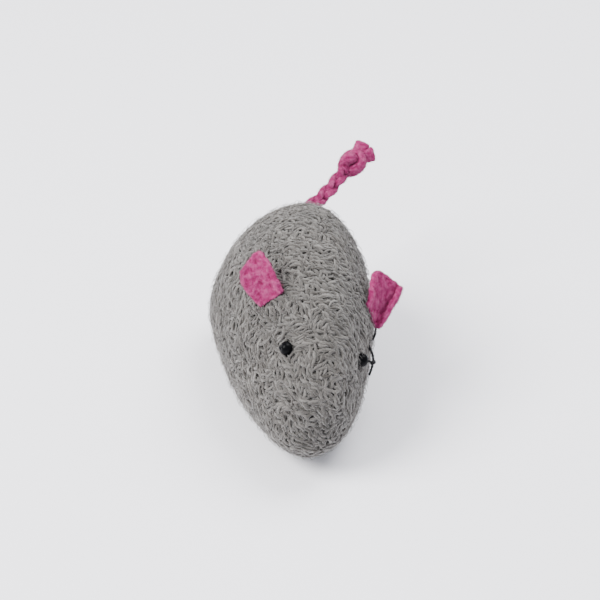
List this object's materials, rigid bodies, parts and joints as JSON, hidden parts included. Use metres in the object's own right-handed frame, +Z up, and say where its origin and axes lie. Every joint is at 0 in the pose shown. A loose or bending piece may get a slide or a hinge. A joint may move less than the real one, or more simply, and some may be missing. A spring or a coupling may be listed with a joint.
{
  "type": "stuffed toy mouse",
  "caption": "Hand-sewn stuffed mouse of brushed wool knit with fleece ears, bead eyes and a plaited, knotted fleece tail; it slumps to one side on a flattened base.",
  "frame": {"origin": "on the resting surface, under the middle of the toy's box, ears and tail included", "axes": "+Z up; the nose points along -Y and the rump along +Y; +X is the mouse's left side, which it leans towards"},
  "size_m": [0.0621, 0.118, 0.057],
  "materials": {
    "wool_knit": "brushed grey wool knit",
    "stuffing": "loose fibre fill",
    "pink_fleece": "felted pink fleece",
    "grey_thread": "grey sewing thread",
    "pink_thread": "pink sewing thread",
    "black_thread": "black sewing thread",
    "bead": "gloss black bead"
  },
  "bodies": {
    "toy_body": {"right_side_panel": "wool_knit", "left_side_panel": "wool_knit", "base_panel": "wool_knit", "stuffing": "stuffing", "right_eye_bead": "bead", "left_eye_bead": "bead", "right_ear_stitch": "pink_thread", "left_ear_stitch": "pink_thread", "back_seam_thread": "grey_thread", "rump_seam_thread": "grey_thread", "base_seam_thread": "grey_thread", "eye_thread": "black_thread", "loose_thread_long": "black_thread", "loose_thread_short": "black_thread", "tail_root": "pink_fleece"},
    "right_ear_fabric": {"right_ear": "pink_fleece"},
    "left_ear_fabric": {"left_ear": "pink_fleece"},
    "tail_base": {"tail_binding": "pink_thread"},
    "tail": {"tail_strip_1": "pink_fleece", "tail_strip_2": "pink_fleece", "tail_strip_3": "pink_fleece", "tail_knot": "pink_fleece", "tail_tip_1": "pink_fleece", "tail_tip_2": "pink_fleece", "tail_tip_3": "pink_fleece"}
  },
  "joints": [
    {"name": "right_ear_fold", "type": "hinge", "parent": "toy_body", "child": "right_ear_fabric", "pos_m": [-0.01586, -0.02417, 0.04531], "axis": [0.7276, -0.2169, 0.6508], "range_deg": [-20, 45], "stiffness_Nm_per_rad": 0.0003},
    {"name": "left_ear_fold", "type": "hinge", "parent": "toy_body", "child": "left_ear_fabric", "pos_m": [0.01523, -0.02417, 0.03639], "axis": [0.2533, 0.1209, -0.9598], "range_deg": [-20, 45], "stiffness_Nm_per_rad": 0.0003},
    {"name": "tail_swing", "type": "hinge", "parent": "toy_body", "child": "tail_base", "pos_m": [-0.00169, 0.03457, 0.03606], "axis": [0, 0, 1], "range_deg": [-25, 90], "stiffness_Nm_per_rad": 0.002},
    {"name": "tail_lift", "type": "hinge", "parent": "tail_base", "child": "tail", "pos_m": [-0.00169, 0.03457, 0.03606], "axis": [0.5834, -0.8122, 0], "range_deg": [-30, 45], "stiffness_Nm_per_rad": 0.002}
  ]
}
